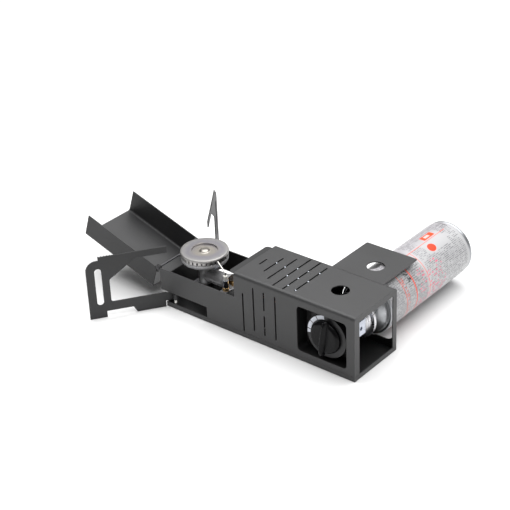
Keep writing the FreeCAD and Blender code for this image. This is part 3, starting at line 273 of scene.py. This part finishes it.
def printed_can(name):
    """Pale printed tinplate: rows of tiny unreadable dashes, orange lines, blocks and bands."""
    g = Graph(name)
    x, y, z = g.split(g.place)
    along = g.math("MULTIPLY", y, 1000.0)
    across = g.math("SUBTRACT", x, AXIS.x)
    up = g.math("SUBTRACT", z, AXIS.z)
    angle = g.math("DEGREES", g.math("ARCTAN2", up, across))

    def between(value, low, high, soft=0.15):
        rise = g.range(value, low - soft, low + soft)
        fall = g.range(value, high - soft, high + soft, 1.0, 0.0)
        return g.math("MULTIPLY", rise, fall)

    def patch(y_low, y_high, a_low, a_high):
        return g.math("MULTIPLY", between(along, y_low, y_high), between(angle, a_low, a_high, 0.3))

    def most(*masks):
        whole = masks[0]
        for mask in masks[1:]:
            whole = g.math("MAXIMUM", whole, mask)
        return whole

    def rows(row_height, dash, fill, seed, low, high):
        """Broken short strokes in rows round the can, like lines of small print too fine to read."""
        row = g.math("DIVIDE", angle, row_height)
        index = g.math("FLOOR", row)
        inside = between(g.math("FRACT", row), 0.28, 0.72, 0.1)
        place = g.math("DIVIDE", along, dash)
        stroke = g.scatter(g.join(g.math("FLOOR", place), index, seed))
        word = g.scatter(g.join(g.math("FLOOR", g.math("DIVIDE", place, 6.0)), index, seed + 3.0))
        on = g.math("MULTIPLY", g.math("GREATER_THAN", stroke, 1.0 - fill), g.math("GREATER_THAN", word, 0.16))
        return g.math("MULTIPLY", g.math("MULTIPLY", inside, on), between(along, low, high))

    paper = g.mix(g.range(g.noise(30.0, 3.0), 0.35, 0.7), (0.43, 0.43, 0.44), (0.50, 0.50, 0.505))
    # purplish grey print band over the top of the can, partly painted shade that darkens the top
    mauve_and_top_shade = g.range(angle, 62.0, 140.0)
    paper = g.mix(g.math("MULTIPLY", mauve_and_top_shade, 0.6), paper, (0.38, 0.34, 0.38))
    small = rows(4.4, 1.1, 0.66, 1.0, 44.5, 112.0)
    fine = rows(3.6, 1.0, 0.66, 5.0, 121.0, 197.0)
    blur = g.range(g.noise(1.0, 3.0, 0.7, g.stretch((520.0, 380.0, 520.0))), 0.42, 0.56)
    haze = g.math("MULTIPLY", between(along, 44.5, 114.0), g.range(g.noise(60.0, 2.0), 0.3, 0.6, 0.4, 1.0))
    gap = g.math("SUBTRACT", 1.0, patch(138, 180, 54, 96), clamp=True)
    ink = g.math("MAXIMUM", g.math("MAXIMUM", small, fine),
                 g.math("MULTIPLY", g.math("MULTIPLY", blur, haze), 0.75))
    ink = g.math("MULTIPLY", ink, gap)
    look = g.mix(g.math("MULTIPLY", ink, 0.7), paper, (0.07, 0.07, 0.08))
    pink = g.math("MULTIPLY", rows(7.0, 1.6, 0.35, 9.0, 96.0, 150.0), between(angle, -40.0, 50.0, 1.0))
    look = g.mix(g.math("MULTIPLY", pink, 0.9), look, (0.75, 0.16, 0.24))
    orange = most(patch(100, 190, 81.6, 82.9), patch(70.5, 71.4, -160, 84), patch(89.6, 91.4, -160, 84),
                  patch(116.6, 117.4, -160, 84), patch(48.4, 49.2, -180, 180),
                  g.math("MULTIPLY", rows(2.2, 1.9, 0.55, 12.0, 72.6, 77.0), between(angle, -150.0, 52.0, 1.0)))
    look = g.mix(g.math("MULTIPLY", orange, 0.9), look, (0.80, 0.07, 0.02))
    block = patch(152, 173, 85.5, 99)
    window = patch(157, 166, 89, 96)
    look = g.mix(block, look, (0.86, 0.08, 0.02))
    look = g.mix(window, look, (0.55, 0.5, 0.48))
    spot_y = g.math("POWER", g.math("DIVIDE", g.math("SUBTRACT", along, 149.0), 6.4), 2.0)
    spot_a = g.math("POWER", g.math("DIVIDE", g.math("SUBTRACT", angle, 65.0), 9.5), 2.0)
    spot = g.range(g.math("ADD", spot_y, spot_a), 0.92, 1.05, 1.0, 0.0)
    look = g.mix(spot, look, (0.88, 0.05, 0.01))
    dark_print_and_hole_shadow = g.math("MULTIPLY", rows(60.0, 0.45, 0.6, 21.0, 191.0, 199.0), between(angle, 84.0, 112.0, 1.0))
    dark_print_and_hole_shadow = g.math("MAXIMUM", dark_print_and_hole_shadow, g.math("MULTIPLY", patch(82, 89, 36, 60),
                                         g.math("GREATER_THAN", g.noise(420.0, 2.0), 0.5)))
    # painted shadow: a blackish patch on the can's upper side, under the heat shield's finger hole
    hole_shadow_y = g.math("POWER", g.math("DIVIDE", g.math("SUBTRACT", along, 73.5), 7.0), 2.0)
    hole_shadow_a = g.math("POWER", g.math("DIVIDE", g.math("SUBTRACT", angle, 112.0), 11.0), 2.0)
    dark_print_and_hole_shadow = g.math("MAXIMUM", dark_print_and_hole_shadow, g.range(g.math("ADD", hole_shadow_y, hole_shadow_a), 0.9, 1.1, 1.0, 0.0))
    look = g.mix(g.math("MULTIPLY", dark_print_and_hole_shadow, 0.92), look, (0.02, 0.02, 0.022))
    seam = between(angle, -92.0, -88.5, 0.2)
    look = g.mix(g.math("MULTIPLY", seam, 0.7), look, (0.35, 0.35, 0.37))
    rim = g.math("SUBTRACT", 1.0, between(along, 44.2, 201.4, 0.4), clamp=True)
    look = g.mix(rim, look, (0.42, 0.42, 0.44))
    scuff = g.range(g.noise(1.0, 4.0, 0.65, g.stretch((160.0, 30.0, 160.0))), 0.6, 0.75)
    rough = g.math("ADD", g.range(scuff, 0.0, 1.0, 0.34, 0.5), g.math("MULTIPLY", ink, 0.05))
    dent = g.math("ADD", g.noise(22.0, 2.0), g.math("MULTIPLY", seam, -0.1))
    return g.finish(look, rough, g.math("MULTIPLY", rim, 0.9), g.bump(dent, 0.10, 0.0008), 0.08, 0.35)


def pale_floor(name):
    g = Graph(name)
    return g.finish(g.mix(g.noise(3.0), (0.86, 0.86, 0.86), (0.88, 0.88, 0.88)),
                    g.range(g.noise(200.0), 0.3, 0.7, 0.6, 0.75), 0.0, None, 0.0, 0.2)


# ---------------------------------------------------------------- mesh helpers

def add_mesh(name, body, material, build):
    mesh = bpy.data.meshes.new(name)
    work = bmesh.new()
    build(work)
    bmesh.ops.recalc_face_normals(work, faces=work.faces)
    work.to_mesh(mesh)
    work.free()
    piece = bpy.data.objects.new(name, mesh)
    bpy.context.scene.collection.objects.link(piece)
    mesh.materials.append(material)
    for face in mesh.polygons:
        face.use_smooth = True
    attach(piece, body)
    return piece


def smooth_corners(profile, rounds=2):
    """Cut the corners of a (radius, along) outline so that turned edges look rounded."""
    for _ in range(rounds):
        softer = [profile[0]]
        for before, after in zip(profile, profile[1:]):
            softer.append(tuple(0.75 * a + 0.25 * b for a, b in zip(before, after)))
            softer.append(tuple(0.25 * a + 0.75 * b for a, b in zip(before, after)))
        softer.append(profile[-1])
        profile = softer
    return profile


def lathe(work, profile, centre, axis, steps=96):
    """Turn (radius, along) points in millimetres about an axis through centre, in metres."""
    direction = Vector(axis).normalized()
    side = direction.orthogonal().normalized()
    other = direction.cross(side)
    rings = []
    for radius, along in profile:
        if radius < 1e-6:
            rings.append([work.verts.new(centre + direction * along * MM)])
            continue
        ring = []
        for step in range(steps):
            turn = 2 * math.pi * step / steps
            reach = radius * MM
            ring.append(work.verts.new(centre + direction * along * MM
                                       + side * math.cos(turn) * reach + other * math.sin(turn) * reach))
        rings.append(ring)
    for low, high in zip(rings, rings[1:]):
        if len(low) == 1 and len(high) == 1:
            continue
        for step in range(steps):
            following = (step + 1) % steps
            if len(low) == 1:
                work.faces.new((low[0], high[step], high[following]))
            elif len(high) == 1:
                work.faces.new((low[step], high[0], low[following]))
            else:
                work.faces.new((low[step], high[step], high[following], low[following]))


def turned(name, body, material, profile, centre, axis, steps=96, rounds=2):
    return add_mesh(name, body, material,
                    lambda work: lathe(work, smooth_corners(profile, rounds), centre, axis, steps))


def screw_heads(name, body, material, places, axis, radius, height):
    """Low domed screw heads with a cross recess, one mesh for each group."""
    direction = Vector(axis).normalized()
    side = direction.orthogonal().normalized()

    def build(work):
        for number, place in enumerate(places):
            turn = Matrix.Rotation(0.5 + 1.1 * number, 3, direction)
            along = turn @ side
            aside = direction.cross(along)
            grid = 28
            verts = {}
            for ring in range(grid + 1):
                for step in range(48):
                    angle = 2 * math.pi * step / 48
                    reach = radius * ring / grid
                    across, up = reach * math.cos(angle), reach * math.sin(angle)
                    dome = height * (1 - 0.55 * (ring / grid) ** 4)
                    in_cross = (abs(across) < 0.17 * radius or abs(up) < 0.17 * radius) and reach < 0.62 * radius
                    if in_cross:
                        dome -= 0.5 * height
                    if ring == grid:
                        dome = 0.0
                    verts[ring, step] = work.verts.new(Vector(place) + (along * across + aside * up
                                                                       + direction * dome) * MM)
            for ring in range(grid):
                for step in range(48):
                    following = (step + 1) % 48
                    work.faces.new((verts[ring, step], verts[ring + 1, step], verts[ring + 1, following],
                                    verts[ring, following]))
            bmesh.ops.remove_doubles(work, verts=work.verts, dist=1e-6)

    return add_mesh(name, body, material, build)


# ---------------------------------------------------------------- camera, light, floor

def place_camera():
    camera = bpy.data.objects.new("camera", bpy.data.cameras.new("camera"))
    bpy.context.scene.collection.objects.link(camera)
    turn, tilt, roll = math.radians(40.29), math.radians(29.54), math.radians(-2.5)
    back = Vector((math.sin(turn) * math.cos(tilt), -math.cos(turn) * math.cos(tilt), math.sin(tilt)))
    right = (-back).cross(Vector((0, 0, 1))).normalized()
    up = right.cross(-back)
    rolled_right = right * math.cos(roll) + up * math.sin(roll)
    rolled_up = -right * math.sin(roll) + up * math.cos(roll)
    camera.matrix_world = Matrix.Translation((0.8772, -1.0656, 0.8764)) @ Matrix(
        (rolled_right, rolled_up, back)).transposed().to_4x4()
    camera.data.sensor_width = 36.0
    camera.data.lens = 100.33
    camera.data.clip_start = 0.01
    bpy.context.scene.camera = camera


def add_light(name, place, target, size, power):
    light = bpy.data.lights.new(name, "AREA")
    light.shape = "RECTANGLE"
    light.size, light.size_y = size
    light.energy = power
    lamp = bpy.data.objects.new(name, light)
    bpy.context.scene.collection.objects.link(lamp)
    aim = (Vector(target) - Vector(place)).to_track_quat("-Z", "Y")
    lamp.matrix_world = Matrix.Translation(place) @ aim.to_matrix().to_4x4()


def build_studio():
    world = bpy.data.worlds.new("studio")
    bpy.context.scene.world = world
    world.use_nodes = True
    bpy.context.scene.view_settings.view_transform = "Standard"
    world.node_tree.nodes["Background"].inputs[0].default_value = (1.0, 1.0, 1.0, 1.0)
    world.node_tree.nodes["Background"].inputs[1].default_value = 0.20
    add_light("overhead", (0.0, 0.25, 1.5), (0, 0, 0), (2.4, 2.4), 63.0)
    add_light("front_left", (-1.2, -1.5, 0.7), (0, 0, 0.04), (0.9, 0.9), 0.4)
    add_light("right_side", (1.6, -0.1, 0.6), (0.1, 0, 0.04), (0.9, 0.7), 3.2)

    floor_mesh = bpy.data.meshes.new("studio_floor")
    half = 6.0
    floor_mesh.from_pydata([(-half, -half, -0.0004), (half, -half, -0.0004), (half, half, -0.0004),
                            (-half, half, -0.0004)], [], [(0, 1, 2, 3)])
    floor_mesh.materials.append(pale_floor("studio_floor"))
    floor = bpy.data.objects.new("studio_floor", floor_mesh)
    bpy.context.scene.collection.objects.link(floor)


# ---------------------------------------------------------------- materials on the CAD nodes

CHARCOAL = (0.034, 0.034, 0.0350)
coat = powder_coat("powder_coat", CHARCOAL)
# body_coat gets the painted shade on the body's inside faces
body_coat = powder_coat("body_coat", CHARCOAL, 0.42, True)
# darker copies of the charcoal coat: painted shade for the arms, the burner lid and the bay wall, which stand
# under the pot
arm_shaded_coat = powder_coat("arm_shaded_coat", (0.020, 0.020, 0.021), 0.50)
lid_shaded_coat = powder_coat("lid_shaded_coat", (0.022, 0.022, 0.023), 0.50)
bay_shaded_coat = powder_coat("bay_shaded_coat", (0.018, 0.018, 0.019), 0.55)
panel_coat = recessed_panel("panel_coat", (0.040, 0.040, 0.042))
zinc = metal("zinc_plate", (0.52, 0.55, 0.62), 0.24, (900.0, 900.0, 60.0))
# a rougher copy of the zinc plate, darker as painted shade for the igniter parts under the pot
dull_shaded_zinc = metal("dull_shaded_zinc", (0.30, 0.31, 0.34), 0.45, (900.0, 900.0, 60.0))
pin_steel = metal("pin_steel", (0.72, 0.71, 0.68), 0.16, (60.0, 60.0, 1500.0))
dark_steel = metal("blackened_steel", (0.10, 0.10, 0.105), 0.38, (60.0, 900.0, 60.0), 0.3)
die_cast = cast("die_cast", (0.74, 0.74, 0.76), 1.0, 0.2)
burner_cast = cast("burner_cast", (0.52, 0.52, 0.53), 0.55, 0.42)
copper = metal("copper_tube", (0.80, 0.42, 0.24), 0.22, (30.0, 900.0, 900.0))
brass = metal("machined_brass", (0.83, 0.55, 0.25), 0.2, (1200.0, 60.0, 60.0))
tin = metal("tinplate", (0.40, 0.41, 0.425), 0.34, (500.0, 40.0, 500.0), 0.12, 0.0003)
knob_plastic = plastic("knob_plastic", (0.0025, 0.0025, 0.003), 0.24, mottled=0.05, specular=0.14)
white_ink = plastic("white_ink", (0.72, 0.75, 0.82), 0.42)
nylon = plastic("nylon", (0.62, 0.62, 0.6), 0.45)
rubber = plastic("seal_rubber", (0.02, 0.02, 0.02), 0.6)
silicone = plastic("lead_silicone", (0.42, 0.025, 0.02), 0.38, sleeve_from=-0.03)
ceramic = plastic("glazed_ceramic", (0.74, 0.73, 0.69), 0.16, 0.6)

FINISHES = {
    body_coat: ("top_shell", "end_frame", "bottom_tray"),
    coat: ("heat_shield",),
    lid_shaded_coat: ("burner_lid",),
    arm_shaded_coat: ("front_arm", "rear_arm"),
    bay_shaded_coat: ("bay_wall",),
    panel_coat: ("control_panel",),
    white_ink: ("dial_marks",),
    zinc: ("regulator_bracket", "electrode_sleeve", "piezo_igniter"),
    dull_shaded_zinc: ("electrode_holder", "ignition_target"),
    dark_steel: ("burner_bridge", "front_pin_support", "rear_pin_support", "shield_guides", "lid_hinge_rod"),
    pin_steel: ("valve_spindle", "front_arm_pin", "rear_arm_pin", "igniter_electrode"),
    die_cast: ("regulator_body", "regulator_socket"),
    burner_cast: ("burner_body",),
    heat_tinted("heat_tint"): ("burner_cap",),
    copper: ("gas_pipe",),
    brass: ("union_nuts", "jet_nozzle", "electrode_gland"),
    rubber: ("socket_seal",),
    silicone: ("ignition_lead",),
    nylon: ("lead_clips", "igniter_cam"),
    ceramic: ("electrode_insulator",),
    tin: ("cartridge_valve",),
}
for finish, names in FINISHES.items():
    for name in names:
        NODES[name].data.materials.clear()
        NODES[name].data.materials.append(finish)


# ---------------------------------------------------------------- pieces with finer shapes

def build_knob():
    """Gloss knob: turned skirt with a rolled edge, and a leaf-shaped grip that bulges towards the front."""
    skirt = [(0.0, 41.0), (15.4, 41.1), (17.0, 40.7), (19.0, 38.6), (19.5, 37.6), (19.5, 35.8), (18.8, 35.6),
             (3.0, 35.6), (3.0, 39.6)]
    lean = Matrix.Rotation(math.radians(8.0), 3, "Y")
    half, rows, ribs = 23.5, 48, 12

    def build(work):
        lathe(work, smooth_corners(skirt, 2), Vector((AXIS.x, 0, AXIS.z)), (0, -1, 0), 128)
        loops = []
        for row in range(rows + 1):
            place = -half + 2 * half * row / rows
            share = abs(place) / half
            swell = math.sqrt(max(0.0, 1 - share ** 2.4))
            front = 40.2 + (47.5 - 40.2) * math.sqrt(max(0.0, 1 - share ** 3.2))
            base_half = 1.1 + 4.3 * swell
            edge_half = 0.7 + 1.75 * swell
            loop = []
            for rib in range(ribs + 1):
                turn = math.pi * rib / ribs
                side = -math.cos(turn)
                rise = math.sin(turn) ** 0.55
                wide = base_half + (edge_half - base_half) * rise
                across = wide * side if 0 < rib < ribs else side * base_half
                depth = 39.4 + (front - 39.4) * rise
                point = lean @ Vector((across * MM, -depth * MM, place * MM))
                loop.append(work.verts.new(point + Vector((AXIS.x, 0, AXIS.z))))
            loops.append(loop)
        for low, high in zip(loops, loops[1:]):
            for rib in range(ribs):
                work.faces.new((low[rib], low[rib + 1], high[rib + 1], high[rib]))
        work.faces.new(loops[0])
        work.faces.new(list(reversed(loops[-1])))

    knob = add_mesh("knob_moulding", "knob", knob_plastic, build)
    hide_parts("control_knob")


def build_cartridge():
    centre = Vector((AXIS.x, 0, AXIS.z))
    can = turned("cartridge_tube", "cartridge", printed_can("printed_can"),
                 [(33.2, 42.7), (33.7, 43.0), (34.0, 44.0), (34.0, 46.0), (34.0, 120.0), (34.0, 200.0),
                  (34.0, 201.6), (33.5, 202.4), (33.2, 203.0)], centre, (0, 1, 0), 160)
    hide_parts("cartridge_shell")
    shoulder = turned("cartridge_dome", "cartridge", tin,
                      [(13.4, 27.4), (14.6, 27.2), (19.0, 29.0), (24.4, 32.0), (28.6, 35.6), (30.6, 38.6),
                       (31.0, 40.0), (32.6, 39.0), (33.5, 40.4), (33.5, 42.0), (33.3, 42.9)],
                      centre, (0, 1, 0), 160)
    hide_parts("cartridge_shoulder")
    base = turned("cartridge_foot", "cartridge", tin,
                  [(33.3, 202.8), (33.6, 203.6), (33.0, 204.2), (33.5, 205.0), (33.4, 207.2), (32.2, 207.95),
                   (30.8, 207.4), (30.0, 205.4), (26.0, 203.4), (14.0, 201.2), (0.0, 200.6)],
                  centre, (0, 1, 0), 160)
    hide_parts("cartridge_base")


def build_regulator_ribs():
    """Polished ribs cast round the valve drum and the socket."""
    centre = Vector((AXIS.x, 0, AXIS.z))
    for number, (radius, along, half) in enumerate(((17.6, -13.5, 1.6), (18.2, -6.5, 1.9), (18.8, 1.5, 2.2))):
        rib = turned(f"drum_rib_{number}", "body", die_cast,
                     [(15.6, along - half - 0.6), (radius - 0.8, along - half), (radius, along - half * 0.4),
                      (radius, along + half * 0.4), (radius - 0.8, along + half), (15.6, along + half + 0.6)],
                     centre, (0, 1, 0), 112)
    collar = turned("socket_rolled_edge", "body", die_cast,
                    [(21.3, 9.0), (22.4, 9.6), (22.6, 11.4), (21.4, 12.2), (21.4, 15.2), (24.0, 16.4),
                     (26.9, 16.8), (27.6, 18.0), (27.7, 19.6), (26.8, 21.1), (22.0, 21.2), (16.0, 21.2)],
                    centre, (0, 1, 0), 112)


def build_screws():
    bracket = screw_heads("bracket_screw_heads", "body", zinc,
                          [(0.082, -0.0189, 0.028), (0.117, -0.0189, 0.028), (0.082, -0.0189, 0.054)],
                          (0, 1, 0), 3.2, 2.0)
    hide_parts("bracket_screws")
    burner = screw_heads("burner_screw_heads", "body", zinc, [(-0.121, 0, 0.0024), (-0.085, 0, 0.0024)],
                         (0, 0, 1), 3.2, 2.0)
    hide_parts("burner_screws")
    for name, depth, way in (("front", -0.0403, -1), ("rear", 0.0403, 1)):
        rivet = turned(f"hinge_rivet_{name}", "body", dark_steel,
                       [(0.0, 1.1), (1.0, 1.0), (1.7, 0.6), (1.95, 0.0)],
                       Vector((-0.142, depth + way * -0.0001, 0.048)), (0, way, 0), 40)


def build_vent_beads():
    """Small bright tacks that bridge the top slots."""
    for number, (across, depth) in enumerate(((-0.6, 6.8), (12.9, 5.1), (26.6, 10.2), (26.6, -8.6),
                                              (40.1, -6.3), (40.1, 12.0), (53.2, 15.7), (40.1, -24.5),
                                              (53.2, -28.0), (53.2, -5.3))):
        bead = turned(f"vent_tack_{number}", "body", zinc,
                      [(0.0, 0.28), (0.7, 0.24), (1.15, 0.0), (1.05, -0.8), (0.0, -1.1)],
                      Vector((across * MM, depth * MM, 0.0799)), (0, 0, 1), 32)


def build_burner_detail():
    centre = Vector((-0.103, 0, 0))
    rim = turned("burner_rolled_rim", "body", burner_cast,
                 [(26.8, 54.6), (27.7, 55.4), (28.0, 57.0), (28.0, 58.6), (27.6, 59.7), (26.6, 59.9)],
                 centre, (0, 0, 1), 112)
    button = turned("burner_cap_button", "body", NODES["burner_cap"].data.materials[0],
                    [(0.0, 67.5), (3.6, 67.3), (5.2, 66.4), (5.6, 65.3), (8.0, 65.25), (12.0, 65.25)],
                    centre, (0, 0, 1), 64)
    ring = turned("flame_ring", "body", NODES["burner_cap"].data.materials[0],
                  [(27.9, 63.9), (28.5, 64.3), (28.7, 65.2), (28.3, 66.4), (27.2, 67.1), (25.6, 67.1)],
                  centre, (0, 0, 1), 112)


place_camera()
build_studio()
build_knob()
build_cartridge()
build_regulator_ribs()
build_screws()
build_vent_beads()
build_burner_detail()
